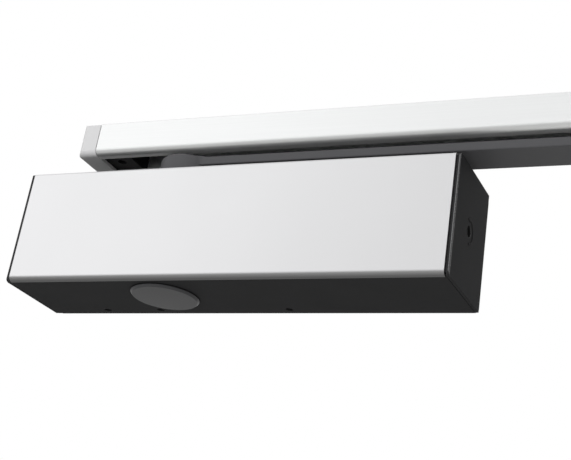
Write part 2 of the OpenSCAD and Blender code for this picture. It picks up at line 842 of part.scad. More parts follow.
// End cap: a flange outside the cover and a spigot inside it
module end_cap() {
    x0 = cover_half + seam;
    x1 = body_len / 2;
    spigot_t = 1.8;
    edge_r = 1.2;
    cap_y = front_y + end_cap_setback;
    spigot_h = 2 * (shell_inner_z - face_gap);
    spigot_y = shell_inner_y + face_gap;
    difference() {
        union() {
            along_x(x0, x1) intersection() {
                translate([end_cap_setback, 0]) cover_outline(0, cover_back_y);
                translate([front_y, -half_h]) square([cover_back_y - front_y, body_h]);
            }
            along_x(cover_half - cap_spigot, x0 + 0.2) difference() {
                translate([spigot_y, -spigot_h / 2]) square([cover_back_y - spigot_y, spigot_h]);
                translate([spigot_y + spigot_t, -spigot_h / 2 + spigot_t])
                    square([body_depth, spigot_h - 2 * spigot_t]);
            }
        }
        translate([x1, cap_y, -half_h - cut]) mirror([1, 0, 0]) linear_extrude(body_h + 2 * cut)
            corner_waste(edge_r);
    }
}

module left_end_cap() {
    color([0.14, 0.14, 0.15]) mirror([1, 0, 0]) end_cap();
}

module right_end_cap() {
    color([0.14, 0.14, 0.15]) difference() {
        end_cap();
        rod_x(adjust_window_d / 2, cover_half - cut, body_len / 2 + cut, axis_y);
    }
}

// Round cap over the spindle's unused lower end, with a spigot that snaps into the cover
module spindle_cap() {
    r = spindle_cap_d / 2;
    spigot_r = spindle_opening_d / 2 - face_gap;
    z1 = -half_h - cap_shadow;
    z0 = -half_h - spindle_cap_h;
    bevel = 1.1;
    spigot_h = 3.8;
    spigot_t = 1.4;
    color([0.3, 0.3, 0.31]) on_spindle() rotate_extrude() polygon([
        [0, z0], [r - bevel, z0], [r, z1 - 0.2], [r, z1], [spigot_r, z1],
        [spigot_r, z1 + spigot_h], [spigot_r - spigot_t, z1 + spigot_h], [spigot_r - spigot_t, z1], [0, z1]
    ]);
}

// Arm: a hub with a square socket, a flat bar and an eye

// Forged fillets in the two corners between the hub and the bar
module hub_fillets() {
    fillet_r = 6;
    bite = 0.05;
    centre_y = arm_w / 2 + fillet_r - bite;
    centre_x = sqrt(pow(hub_r + fillet_r - bite, 2) - pow(centre_y, 2));
    for (side = [0, 1]) mirror([0, side]) difference() {
        polygon([[0, 0], [centre_x * hub_r / (hub_r + fillet_r), centre_y * hub_r / (hub_r + fillet_r)],
            [centre_x, centre_y], [centre_x, 0]]);
        translate([centre_x, centre_y]) circle(fillet_r);
    }
}

module arm_blank() {
    mid_z = (arm_z0 + arm_z1) / 2;
    chamfer = 0.8;
    on_spindle() rotate_extrude() polygon([
        [0, hub_z0], [hub_r - chamfer, hub_z0], [hub_r, hub_z0 + chamfer],
        [hub_r, arm_z1 - chamfer], [hub_r - chamfer, arm_z1], [0, arm_z1]
    ]);
    translate([spindle_x, axis_y, arm_z0]) linear_extrude(arm_t) hub_fillets();
    along_x(spindle_x, eye_x) translate([axis_y, mid_z]) round_rect(arm_w, arm_t, arm_edge_r);
    translate([eye_x, axis_y, 0]) rotate_extrude() polygon([
        [0, arm_z0], [eye_d / 2 - arm_edge_r, arm_z0], [eye_d / 2, arm_z0 + arm_edge_r],
        [eye_d / 2, arm_z1 - arm_edge_r], [eye_d / 2 - arm_edge_r, arm_z1], [0, arm_z1]
    ]);
}

module arm() {
    socket_w = square_w + 2 * seat_gap;
    socket_top = square_top + 0.4;
    color([0.2, 0.2, 0.21]) difference() {
        arm_blank();
        on_spindle() {
            translate([-socket_w / 2, -socket_w / 2, hub_z0 - cut])
                cube([socket_w, socket_w, socket_top - hub_z0 + cut]);
            rod_z(arm_screw_r + 0.3, socket_top - cut, arm_z1 + cut);
            rod_z(arm_screw_head_r + 0.3, head_seat_z, arm_z1 + cut);
        }
        rod_z(bush_r, arm_z0 - cut, arm_z1 + cut, eye_x, axis_y);
    }
}

module arm_screw() {
    color("dimgray") on_spindle() difference() {
        union() {
            rod_z(arm_screw_r - seat_gap, screw_end_z, head_seat_z + cut);
            rod_z(arm_screw_head_r, head_seat_z + seat_gap, head_top_z);
        }
        hex_socket(large_hex, head_top_z - socket_depth, head_top_z + cut);
    }
}

module arm_bush() {
    color("peru") translate([eye_x, axis_y, 0])
        ring_z(bush_r - seat_gap, stud_d / 2 + run_gap, arm_z0, arm_z1);
}

// Slide block, which runs in the rail, and the stud that the arm turns on

module slide_block() {
    w = cavity_w - 2 * slide_gap;
    h = cavity_h - 2 * slide_gap;
    neck_w = rail_slot - 8 * slide_gap;
    neck_len = block_len - 8;
    corner_r = 4;
    relief_w = 3.6;
    relief_z = cavity_z0 + slide_gap + 4;
    color("ivory") difference() {
        union() {
            translate([eye_x, axis_y, cavity_z0 + slide_gap])
                linear_extrude(h) round_rect(block_len, w, corner_r);
            translate([eye_x, axis_y, neck_z0]) linear_extrude(cavity_z0 + slide_gap - neck_z0 + cut)
                round_rect(neck_len, neck_w, corner_r);
        }
        rod_z(stud_d / 2 + seat_gap, neck_z0 - cut, rail_z1, eye_x, axis_y);
        rod_z(stud_counterbore_r, cavity_z0 + h / 2, rail_z1, eye_x, axis_y);
        for (side = [-1, 1])
            translate([eye_x + side * (block_len / 2 - 1.25 * relief_w), axis_y, relief_z])
                linear_extrude(h) round_rect(relief_w, w - 2 * relief_w, relief_w / 2.4);
    }
}

module thrust_washer() {
    color("white") translate([eye_x, axis_y, 0])
        ring_z(bush_r + 2.5, stud_d / 2 + seat_gap, arm_z1 + face_gap, arm_z1 + face_gap + washer_t);
}

ring_t = 1.2;
ring_z1 = arm_z0 - face_gap;
ring_z0 = ring_z1 - ring_t;
stud_end_z = ring_z0 - 1.2;
stud_groove_r = stud_d / 2 - 0.8;
stud_chamfer = 0.6;
stud_head_h = 4;
stud_counterbore_r = stud_d / 2 + 2.5;

module pivot_stud() {
    r = stud_d / 2;
    head_r = stud_counterbore_r - 0.2;
    head_z = cavity_z0 + (cavity_h - 2 * slide_gap) / 2 + seat_gap;
    color("silver") translate([eye_x, axis_y, 0]) difference() {
        rotate_extrude() polygon([
            [0, stud_end_z], [r - stud_chamfer, stud_end_z], [r, stud_end_z + stud_chamfer], [r, ring_z0],
            [stud_groove_r, ring_z0], [stud_groove_r, ring_z1], [r, ring_z1],
            [r, head_z], [head_r, head_z], [head_r, head_z + stud_head_h - stud_chamfer],
            [head_r - stud_chamfer, head_z + stud_head_h], [0, head_z + stud_head_h]
        ]);
        hex_socket(large_hex, head_z + stud_head_h - socket_depth, head_z + stud_head_h + cut);
    }
}

// Open snap ring in the stud's groove, below the arm
module retaining_ring() {
    r = stud_groove_r;
    mouth = 2 * r * 0.8;
    color("silver") translate([eye_x, axis_y, 0]) difference() {
        ring_z(r + 3, r + seat_gap, ring_z0 + seat_gap / 2, ring_z1 - seat_gap / 2);
        translate([0, -mouth / 2, ring_z0 - cut]) cube([r + 4, mouth, ring_t + 2 * cut]);
    }
}

// Guide rail: an extruded channel with its slot underneath

module rail_outline(r_low, r_top) {
    y0 = axis_y - rail_w / 2;
    difference() {
        translate([y0, rail_z0]) square([rail_w, rail_h]);
        for (side = [0, 1]) translate([axis_y, 0]) mirror([side, 0]) {
            translate([-rail_w / 2, rail_z0]) corner_waste(r_low);
            translate([-rail_w / 2, rail_z1]) mirror([0, 1]) corner_waste(r_top);
        }
    }
}

module rail() {
    color("whitesmoke") along_x(extrusion_x0, extrusion_x1) difference() {
        rail_outline(rail_edge_r, rail_top_r);
        translate([axis_y, cavity_z0 + cavity_h / 2]) square([cavity_w, cavity_h], center = true);
        translate([axis_y - rail_slot / 2, rail_z0 - cut]) square([rail_slot, rail_wall + 2 * cut]);
    }
}

// Cast fixing piece in each end of the rail: a body in the channel and a drilled tongue outside
module fixing_piece() {
    w = cavity_w - 2 * seat_gap;
    h = cavity_h - 2 * seat_gap;
    x0 = extrusion_x1 - fixing_in;
    x1 = extrusion_x1 + fixing_out;
    hole_x = rail_x1 - rail_hole_x;
    front = axis_y - w / 2;
    back = axis_y + w / 2;
    difference() {
        translate([x0, front, cavity_z0 + seat_gap]) cube([x1 - x0, w, h]);
        rod_y(rail_hole_d / 2, front - cut, back + cut, hole_x, rail_mid_z);
        rod_y(rail_head_d / 2, front - cut, back - rail_tongue_t, hole_x, rail_mid_z);
        rod_z(clamp_d / 2, rail_z0, rail_z1, x0 + fixing_in / 2, axis_y);
    }
}

rail_mid_x = (rail_x0 + rail_x1) / 2;

// Repeats a piece of the rail's right end, mirrored, at its left end
module at_both_rail_ends() {
    children();
    translate([2 * rail_mid_x, 0, 0]) mirror([1, 0, 0]) children();
}

module rail_fixing_pieces() {
    color("darkgray") at_both_rail_ends() fixing_piece();
}

// Grub screws that press each fixing piece down in the channel
module clamp_screw() {
    r = clamp_d / 2 - seat_gap;
    z1 = rail_z1 - rail_wall - seat_gap;
    z0 = z1 - clamp_len;
    translate([extrusion_x1 - fixing_in / 2, axis_y, 0]) difference() {
        rod_z(r, z0, z1);
        hex_socket(small_hex, z0 - cut, z0 + socket_depth);
    }
}

module rail_clamp_screws() {
    color("dimgray") at_both_rail_ends() clamp_screw();
}

// Moulded cap over the tongue and the fixing screw
module rail_cap() {
    end_wall = 1.5;
    x0 = extrusion_x1 + rail_seam;
    corner_r = 3.2;
    intersection() {
        difference() {
            along_x(x0, rail_x1) rail_outline(rail_edge_r + 0.2, rail_top_r + 0.3);
            translate([x0 - cut, axis_y - cavity_w / 2, cavity_z0])
                cube([rail_x1 - x0 - end_wall + cut, cavity_w, cavity_h]);
            rod_y(rail_hole_d / 2, axis_y, axis_y + rail_w, rail_x1 - rail_hole_x, rail_mid_z);
        }
        translate([rail_x1 - rail_w, axis_y, rail_z0 - cut]) linear_extrude(rail_h + 2 * cut)
            round_rect(2 * rail_w, rail_w, corner_r);
    }
}

module left_rail_cap() {
    color("lightgray") translate([2 * rail_mid_x, 0, 0]) mirror([1, 0, 0]) rail_cap();
}

module right_rail_cap() {
    color("lightgray") rail_cap();
}

mounting_plate();
plate_screws();
housing();
gallery_ball();
left_end_plug();
right_end_plug();
plug_seals();
upper_bearing();
lower_bearing();
upper_gland_ring();
lower_gland_ring();
upper_shaft_seal();
lower_shaft_seal();
spindle();
piston();
check_valve_seat();
check_valve_ball();
check_valve_pin();
relief_valve();
main_spring();
inner_spring();
spring_seat();
adjusting_screw();
adjusting_screw_seal();
latching_valve();
closing_valve();
backcheck_valve();
valve_seals();
cover_shell();
front_fascia();
left_end_cap();
right_end_cap();
spindle_cap();
arm();
arm_screw();
arm_bush();
slide_block();
thrust_washer();
pivot_stud();
retaining_ring();
rail();
rail_fixing_pieces();
rail_clamp_screws();
left_rail_cap();
right_rail_cap();
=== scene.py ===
"""Looks of an overhead door closer with its slide arm and guide rail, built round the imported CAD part."""

from math import hypot, pi, radians

import bmesh
import bpy
from mathutils import Matrix, Vector


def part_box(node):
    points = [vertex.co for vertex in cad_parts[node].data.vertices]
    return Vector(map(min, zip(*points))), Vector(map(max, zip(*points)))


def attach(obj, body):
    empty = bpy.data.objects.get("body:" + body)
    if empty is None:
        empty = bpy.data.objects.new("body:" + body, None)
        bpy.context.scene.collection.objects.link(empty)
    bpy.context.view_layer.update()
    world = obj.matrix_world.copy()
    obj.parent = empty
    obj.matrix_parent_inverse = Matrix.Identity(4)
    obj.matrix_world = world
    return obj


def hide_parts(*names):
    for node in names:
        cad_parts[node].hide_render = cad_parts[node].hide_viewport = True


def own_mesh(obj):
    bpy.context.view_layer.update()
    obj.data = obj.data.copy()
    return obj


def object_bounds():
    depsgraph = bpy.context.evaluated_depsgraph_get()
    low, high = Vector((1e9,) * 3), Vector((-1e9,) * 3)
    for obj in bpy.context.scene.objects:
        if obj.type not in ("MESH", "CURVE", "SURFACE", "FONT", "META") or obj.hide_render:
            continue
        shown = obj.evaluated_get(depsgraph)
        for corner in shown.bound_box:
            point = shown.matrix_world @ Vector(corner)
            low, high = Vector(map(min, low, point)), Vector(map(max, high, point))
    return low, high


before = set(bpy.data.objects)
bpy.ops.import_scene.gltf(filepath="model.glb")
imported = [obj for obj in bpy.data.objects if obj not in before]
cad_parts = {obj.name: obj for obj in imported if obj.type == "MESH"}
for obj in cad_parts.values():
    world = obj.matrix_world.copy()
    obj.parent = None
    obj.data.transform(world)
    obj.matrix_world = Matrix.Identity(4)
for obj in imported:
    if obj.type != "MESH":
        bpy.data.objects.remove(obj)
cad_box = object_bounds()


# ---------------------------------------------------------------------------------------
# Studio: a pale floor below the closer, a white surround and soft lamps. The closer hangs
# on its door fixing, so the view looks up at it from below its right front.

def hex_colour(code):
    """An sRGB hex value as the linear colour that shaders take."""
    channels = [int(code[i:i + 2], 16) / 255 for i in (1, 3, 5)]
    return [c / 12.92 if c <= 0.04045 else ((c + 0.055) / 1.055) ** 2.4 for c in channels] + [1]


def feed(node, inputs):
    """Sets a node's inputs, or links those whose value is another node's output."""
    for name, value in inputs.items():
        if isinstance(value, bpy.types.NodeSocket):
            node.id_data.links.new(value, node.inputs[name])
        else:
            node.inputs[name].default_value = value


def add(tree, kind, inputs=None, **settings):
    """Adds a node with its settings and feeds its inputs, which go by name or by number."""
    node = tree.nodes.new(kind)
    for name, value in settings.items():
        setattr(node, name, value)
    feed(node, inputs or {})
    return node


low_corner, high_corner = (Vector(corner) for corner in cad_box)
middle = (low_corner + high_corner) / 2

camera_data = bpy.data.cameras.new("camera")
camera_data.lens = 78.89
camera_data.shift_x = -0.0876
camera_data.shift_y = -0.0876
camera = bpy.data.objects.new("camera", camera_data)
camera_forward = Vector((-0.3879, 0.8235, 0.4141))
camera_up = Vector((0.0421, -0.4330, 0.9004))
camera_right = camera_forward.cross(camera_up).normalized()
turned = Matrix((camera_right, camera_right.cross(camera_forward), -camera_forward)).transposed()
camera.location = (0.2915, -0.5458, -0.2296)
camera.rotation_mode = "QUATERNION"
camera.rotation_quaternion = turned.to_quaternion()
bpy.context.scene.collection.objects.link(camera)
bpy.context.scene.camera = camera
bpy.context.scene.view_settings.view_transform = "Standard"

floor_z = -0.9
floor_half_width = 4
floor_mesh = bpy.data.meshes.new("studio_floor")
shape = bmesh.new()
bmesh.ops.create_grid(shape, x_segments=1, y_segments=1, size=floor_half_width)
bmesh.ops.translate(shape, verts=shape.verts, vec=(middle.x, middle.y, floor_z))
shape.to_mesh(floor_mesh)
shape.free()
floor = bpy.data.objects.new("studio_floor", floor_mesh)
bpy.context.scene.collection.objects.link(floor)
floor_paint = bpy.data.materials.new("studio_floor_paint")
floor_paint.use_nodes = True
tree = floor_paint.node_tree
shader = tree.nodes["Principled BSDF"]
feed(shader, {"Base Color": hex_colour("#e6e6e4"), "Roughness": 0.9, "Specular IOR Level": 0.1})
# From beneath, the floor is clear, so that a view from below it still shows the closer.
side = add(tree, "ShaderNodeNewGeometry")
clear = add(tree, "ShaderNodeBsdfTransparent")
one_sided = add(tree, "ShaderNodeMixShader",
                {"Fac": side.outputs["Backfacing"], 1: shader.outputs["BSDF"], 2: clear.outputs["BSDF"]})
feed(tree.nodes["Material Output"], {"Surface": one_sided.outputs["Shader"]})
floor_mesh.materials.append(floor_paint)

# The fills light colours only, the edge strip shows in metal and gloss only, and the key does both.
# name, direction from the closer, distance, width, power in watts, seen in colours, seen in gloss
lamps = [
    ("key_softbox", (-0.75, -0.56, 0.36), 1.3, 1.1, 1.5, True, True),
    ("edge_strip", (0.52, -0.75, 0.42), 1.5, 0.35, 3, False, True),
    ("front_fill", (-0.2, -0.95, 0.05), 0.75, 0.6, 4.2, True, False),
    ("top_fill", (0.05, 0.25, 0.97), 3, 2, 48, True, False),
    ("back_fill", (0.1, 0.7, 0.7), 0.6, 0.5, 1.2, True, False),
]
for name, direction, distance, width, power, in_colours, in_gloss in lamps:
    light = bpy.data.lights.new(name, "AREA")
    light.size = width
    light.energy = power
    lamp = bpy.data.objects.new(name, light)
    lamp.location = middle + Vector(direction).normalized() * distance
    lamp.rotation_mode = "QUATERNION"
    lamp.rotation_quaternion = (middle - lamp.location).to_track_quat("-Z", "Y")
    lamp.visible_camera = False
    lamp.visible_diffuse = in_colours
    lamp.visible_glossy = in_gloss
    bpy.context.scene.collection.objects.link(lamp)

# The surround looks white, to the eye and in mirrors, and lights the closer at less than that.
world = bpy.data.worlds.new("studio_surround")
bpy.context.scene.world = world
world.use_nodes = True
tree = world.node_tree
tree.nodes.clear()
white = hex_colour("#ffffff")
path = add(tree, "ShaderNodeLightPath")
mirrored = add(tree, "ShaderNodeMath",
               {0: path.outputs["Is Glossy Ray"], 1: path.outputs["Is Transmission Ray"]},
               operation="MAXIMUM")
seen = add(tree, "ShaderNodeMath",
           {0: path.outputs["Is Camera Ray"], 1: mirrored.outputs["Value"]}, operation="MAXIMUM")
light_part = add(tree, "ShaderNodeBackground", {"Color": white, "Strength": 0.4})
seen_part = add(tree, "ShaderNodeBackground", {"Color": white, "Strength": 1})
surround = add(tree, "ShaderNodeMixShader",
               {"Fac": seen.outputs["Value"],
                1: light_part.outputs["Background"], 2: seen_part.outputs["Background"]})
add(tree, "ShaderNodeOutputWorld", {"Surface": surround.outputs["Shader"]})


# ---------------------------------------------------------------------------------------
# Housing: a pressure die casting in aluminium, left as cast. It holds the cylinder and the
# spindle's bearings, and is screwed to the door through the mounting plate.

MM = 0.001


def new_finish(name):
    """A new material, its node tree, its shader and the coordinates that its patterns read."""
    finish = bpy.data.materials.new(name)
    finish.use_nodes = True
    tree = finish.node_tree
    return finish, tree, tree.nodes["Principled BSDF"], add(tree, "ShaderNodeTexCoord").outputs["Object"]


# A Mix node has several inputs and outputs of the same name, so those for colours go by number.
COLOUR_A, COLOUR_B, MIXED = 6, 7, 2

# The cast skin is grey and slightly uneven, with an orange-peel relief.
skin_grain = 1 * MM
cast, tree, shader, place = new_finish("die_cast_skin")
skin = add(tree, "ShaderNodeTexNoise", {"Vector": place, "Scale": 1 / skin_grain, "Detail": 4})
tone = add(tree, "ShaderNodeMix", {"Factor": skin.outputs["Fac"], COLOUR_A: hex_colour("#8b8d90"),
                                   COLOUR_B: hex_colour("#a4a6a8")}, data_type="RGBA")
relief = add(tree, "ShaderNodeBump", {"Height": skin.outputs["Fac"], "Strength": 0.3, "Distance": 0.08 * MM})
feed(shader, {"Metallic": 0.9, "Roughness": 0.55, "Base Color": tone.outputs[MIXED],
              "Normal": relief.outputs["Normal"]})


def painted(material, *names):
    """Gives CAD nodes that keep their own mesh a material."""
    for name in names:
        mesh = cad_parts[name].data
        mesh.materials.clear()
        mesh.materials.append(material)


painted(cast, "housing")


# ---------------------------------------------------------------------------------------
# Mounting plate and its screws: pressed sheet steel, zinc plated and passivated black. The
# plate lies between the housing and the door.

# Black passivate is a thin dark film over bright zinc, with faint cloudy patches.
passivate_patch = 12 * MM
zinc, tree, shader, place = new_finish("black_passivated_zinc")
clouds = add(tree, "ShaderNodeTexNoise", {"Vector": place, "Scale": 1 / passivate_patch, "Detail": 5})
tone = add(tree, "ShaderNodeMix", {"Factor": clouds.outputs["Fac"], COLOUR_A: hex_colour("#2d2e30"),
                                   COLOUR_B: hex_colour("#3b3c3f")}, data_type="RGBA")
matt = add(tree, "ShaderNodeMapRange", {"Value": clouds.outputs["Fac"], "To Min": 0.34, "To Max": 0.5})
feed(shader, {"Metallic": 1, "Base Color": tone.outputs[MIXED], "Roughness": matt.outputs["Result"]})


def finished(shape, name, material, edge=0, segments=2, sharp_deg=35):
    """Turns a bmesh into a smooth-shaded piece, its sharp edges broken by a small bevel."""
    if edge:
        sharp = [fold for fold in shape.edges
                 if len(fold.link_faces) == 2 and fold.calc_face_angle(0) > radians(sharp_deg)]
        bmesh.ops.bevel(shape, geom=sharp, offset=edge, offset_type="OFFSET", affect="EDGES",
                        segments=segments, profile=0.5, material=-1, clamp_overlap=True)
    mesh = bpy.data.meshes.new(name)
    shape.to_mesh(mesh)
    shape.free()
    mesh.materials.append(material)
    mesh.shade_smooth()
    mesh.set_sharp_from_angle(angle=radians(sharp_deg))
    piece = bpy.data.objects.new(name, mesh)
    bpy.context.scene.collection.objects.link(piece)
    piece.modifiers.new("flat_faces_shade_flat", "WEIGHTED_NORMAL").keep_sharp = True
    return piece


def merged_copy(node):
    """A bmesh of a CAD node with its loose triangles joined and its flat faces made whole."""
    weld = 0.002 * MM
    flat_deg = 0.5
    shape = bmesh.new()
    shape.from_mesh(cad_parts[node].data)
    bmesh.ops.remove_doubles(shape, verts=shape.verts, dist=weld)
    bmesh.ops.dissolve_limit(shape, angle_limit=radians(flat_deg), verts=shape.verts, edges=shape.edges)
    return shape


def dressed(node, body, material, edge, segments=2):
    """A smooth copy of a CAD node with its edges broken, which stands for that node."""
    piece = finished(merged_copy(node), node + "_skin", material, edge, segments)
    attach(piece, body)
    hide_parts(node)
    return piece


dressed("mounting_plate", "closer_body", zinc, 0.15 * MM)
painted(zinc, "plate_screws")


# ---------------------------------------------------------------------------------------
# Spindle, its bearings, and the balls and pin of the oil ways: hardened and ground bearing
# steel. They hardly show, so they keep their own meshes.

# Ground bearing steel is bright, with fine grinding marks that only soften its reflections.
mark_size = 0.4 * MM
ground_steel, tree, shader, place = new_finish("ground_bearing_steel")
marks = add(tree, "ShaderNodeTexNoise", {"Vector": place, "Scale": 1 / mark_size, "Detail": 4})
matt = add(tree, "ShaderNodeMapRange", {"Value": marks.outputs["Fac"], "To Min": 0.16, "To Max": 0.3})
feed(shader, {"Base Color": hex_colour("#b9babd"), "Metallic": 1, "Roughness": matt.outputs["Result"]})
painted(ground_steel, "spindle", "upper_bearing", "lower_bearing")
painted(ground_steel, "gallery_ball", "check_valve_ball", "check_valve_pin")


# ---------------------------------------------------------------------------------------
# Piston, spring seat, end plugs and gland rings: turned from free-cutting steel. The screw
# that draws the seat along is blackened.

# The turning tool leaves fine rings, which draw the reflection out round the axis. A Wave node
# has ten bands in pi units, so they are drawn 1.9 mm apart here.
wave_unit = 6 * MM
turned_steel, tree, shader, place = new_finish("turned_free_cutting_steel")
rings = add(tree, "ShaderNodeTexWave",
            {"Vector": place, "Scale": 1 / wave_unit, "Distortion": 0.5, "Detail": 1}, bands_direction="X")
relief = add(tree, "ShaderNodeBump",
             {"Height": rings.outputs["Fac"], "Strength": 0.15, "Distance": 0.01 * MM})
feed(shader, {"Base Color": hex_colour("#a3a4a6"), "Metallic": 1, "Roughness": 0.32,
              "Normal": relief.outputs["Normal"]})
painted(turned_steel, "piston", "spring_seat", "left_end_plug", "right_end_plug")
painted(turned_steel, "upper_gland_ring", "lower_gland_ring")

# Black oxide is a thin dark film on a turned face, with a dull metal glint.
film_patch = 2 * MM
blackened, tree, shader, place = new_finish("black_oxide_steel")
film = add(tree, "ShaderNodeTexNoise", {"Vector": place, "Scale": 1 / film_patch, "Detail": 4})
tone = add(tree, "ShaderNodeMix", {"Factor": film.outputs["Fac"], COLOUR_A: hex_colour("#2b2b2e"),
                                   COLOUR_B: hex_colour("#3c3b3c")}, data_type="RGBA")
feed(shader, {"Metallic": 0.8, "Roughness": 0.42, "Base Color": tone.outputs[MIXED]})
painted(blackened, "adjusting_screw")


# ---------------------------------------------------------------------------------------
# Springs: two nested coils of oil-tempered wire between the piston and the spring seat.
# The piston shortens their left half and the seat's adjustment their right half, so each
# coil is made in two lengths that meet in the middle.

# Oil tempering leaves a dark blue-grey oxide, uneven along the wire.
oxide_patch = 4 * MM
spring_wire, tree, shader, place = new_finish("oil_tempered_wire")
oxide = add(tree, "ShaderNodeTexNoise", {"Vector": place, "Scale": 1 / oxide_patch, "Detail": 3})
tone = add(tree, "ShaderNodeMix", {"Factor": oxide.outputs["Fac"], COLOUR_A: hex_colour("#4a4e55"),
                                   COLOUR_B: hex_colour("#62656a")}, data_type="RGBA")
feed(shader, {"Metallic": 0.9, "Roughness": 0.38, "Base Color": tone.outputs[MIXED]})

steps_per_turn = 32
# node, wire diameter, turns, direction of the winding
coils = [("main_spring", 4 * MM, 8, 1), ("inner_spring", 2.4 * MM, 11, -1)]
for node, wire_d, turns, hand in coils:
    low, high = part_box(node)
    centre = (low + high) / 2
    mean_r = (high.y - low.y - wire_d) / 2
    half_lead = (high.x - low.x - wire_d) / 2
    half_angle = hand * pi * turns
    steps = steps_per_turn * turns // 2
    # name, start along X, start round the coil, joint that shortens it
    lengths = [("piston_end", centre.x - half_lead, 0, "piston_travel"),
               ("seat_end", centre.x, half_angle, "seat_travel")]
    for name, start_x, start_angle, joint in lengths:
        shape = bmesh.new()
        ring = bmesh.ops.create_circle(shape, segments=16, radius=wire_d / 2)["verts"]
        bmesh.ops.rotate(shape, verts=ring, cent=(0, 0, 0), matrix=Matrix.Rotation(pi / 2, 3, "Z"))
        bmesh.ops.translate(shape, verts=ring, vec=(start_x, centre.y + mean_r, centre.z))
        bmesh.ops.rotate(shape, verts=ring, cent=centre, matrix=Matrix.Rotation(start_angle, 3, "X"))
        geometry = list(shape.verts) + list(shape.edges)
        bmesh.ops.spin(shape, geom=geometry, cent=centre, axis=(1, 0, 0), angle=half_angle,
                       steps=steps, dvec=(half_lead / steps, 0, 0), use_merge=False)
        ends = [edge for edge in shape.edges if edge.is_boundary]
        bmesh.ops.holes_fill(shape, edges=ends)
        bmesh.ops.recalc_face_normals(shape, faces=shape.faces)
        spring = finished(shape, node + "_" + name, spring_wire)
        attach(spring, "closer_body")
        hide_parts(node)
        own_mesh(spring)


# ---------------------------------------------------------------------------------------
# Regulating valves and the piston's valves: turned brass, nickel plated where it shows. The
# three regulating valves screw into the housing from below.

# Dull nickel over turned brass keeps a faint warm tone.
plating_patch = 1.5 * MM
nickel, tree, shader, place = new_finish("dull_nickel_plating")
plating = add(tree, "ShaderNodeTexNoise", {"Vector": place, "Scale": 1 / plating_patch, "Detail": 3})
tone = add(tree, "ShaderNodeMix", {"Factor": plating.outputs["Fac"], COLOUR_A: hex_colour("#a8a399"),
                                   COLOUR_B: hex_colour("#bdb8ac")}, data_type="RGBA")
feed(shader, {"Metallic": 1, "Roughness": 0.28, "Base Color": tone.outputs[MIXED]})
painted(nickel, "latching_valve", "closing_valve", "backcheck_valve")

# Bare turned brass, slightly dulled by oil.
dull_patch = 2 * MM
brass, tree, shader, place = new_finish("bare_turned_brass")
dulling = add(tree, "ShaderNodeTexNoise", {"Vector": place, "Scale": 1 / dull_patch, "Detail": 3})
tone = add(tree, "ShaderNodeMix", {"Factor": dulling.outputs["Fac"], COLOUR_A: hex_colour("#b08d4a"),
                                   COLOUR_B: hex_colour("#c9a862")}, data_type="RGBA")
feed(shader, {"Metallic": 1, "Roughness": 0.3, "Base Color": tone.outputs[MIXED]})
painted(brass, "check_valve_seat", "relief_valve")


# ---------------------------------------------------------------------------------------
# Ring seals and shaft seals: moulded nitrile rubber, black and oily. They lie round the
# plugs, the valves, the spindle and the adjusting screw.

# Rubber is a soft black whose oil film varies its gloss.
oil_patch = 3 * MM
rubber, tree, shader, place = new_finish("moulded_nitrile_rubber")
oil = add(tree, "ShaderNodeTexNoise", {"Vector": place, "Scale": 1 / oil_patch, "Detail": 2})
matt = add(tree, "ShaderNodeMapRange", {"Value": oil.outputs["Fac"], "To Min": 0.4, "To Max": 0.7})
feed(shader, {"Base Color": hex_colour("#1c1c1c"), "Roughness": matt.outputs["Result"]})
painted(rubber, "plug_seals", "upper_shaft_seal", "lower_shaft_seal", "adjusting_screw_seal", "valve_seals")


# ---------------------------------------------------------------------------------------
# Cover shell and end caps: black moulded covers with a fine spark-eroded grain, open at the
# back, with round windows for the spindle ends, the valves and the spring adjustment.

# Mould grain gives a dull even black with no mirror image, drawn here as coarse as it needs to show.
mould_grain = 0.5 * MM
flow_size = 25 * MM
black_plastic, tree, shader, place = new_finish("grained_black_abs")
grain = add(tree, "ShaderNodeTexNoise", {"Vector": place, "Scale": 1 / mould_grain, "Detail": 2})
flow = add(tree, "ShaderNodeTexNoise", {"Vector": place, "Scale": 1 / flow_size, "Detail": 3})
tone = add(tree, "ShaderNodeMix", {"Factor": flow.outputs["Fac"], COLOUR_A: hex_colour("#29292a"),
                                   COLOUR_B: hex_colour("#2f2f30")}, data_type="RGBA")
matt = add(tree, "ShaderNodeMapRange", {"Value": grain.outputs["Fac"], "To Min": 0.62, "To Max": 0.74})
relief = add(tree, "ShaderNodeBump",
             {"Height": grain.outputs["Fac"], "Strength": 0.25, "Distance": 0.05 * MM})
feed(shader, {"Specular IOR Level": 0.03, "Base Color": tone.outputs[MIXED],
              "Roughness": matt.outputs["Result"], "Normal": relief.outputs["Normal"]})
dressed("cover_shell", "closer_body", black_plastic, 0.1 * MM)
end_caps = [dressed(side + "_end_cap", "closer_body", black_plastic, 0.15 * MM, 3)
            for side in ("left", "right")]

# The caps' rounded front edges get a glossier black, so that they catch the light, and a lighter tone that is
# a painted highlight.
gloss_patch_size = 3 * MM
edge_highlight_plastic, tree, shader, place = new_finish("black_abs_painted_edge_highlight")
gloss_noise = add(tree, "ShaderNodeTexNoise", {"Vector": place, "Scale": 1 / gloss_patch_size, "Detail": 3})
matt = add(tree, "ShaderNodeMapRange", {"Value": gloss_noise.outputs["Fac"], "To Min": 0.2, "To Max": 0.34})
feed(shader, {"Base Color": hex_colour("#3c3c3d"), "Specular IOR Level": 0.6,
              "Roughness": matt.outputs["Result"]})

# The faces with the painted highlight turn both forwards and sideways, and aren't the flat front itself.
turned_at_least = 0.2
flat_front = 0.95
for cap in end_caps:
    cap.data.materials.append(edge_highlight_plastic)
    highlight_slot = cap.data.materials.find(edge_highlight_plastic.name)
    for face in cap.data.polygons:
        forwards = -face.normal.y
        sideways = abs(face.normal.x)
        if turned_at_least < forwards < flat_front and sideways > turned_at_least:
            face.material_index = highlight_slot

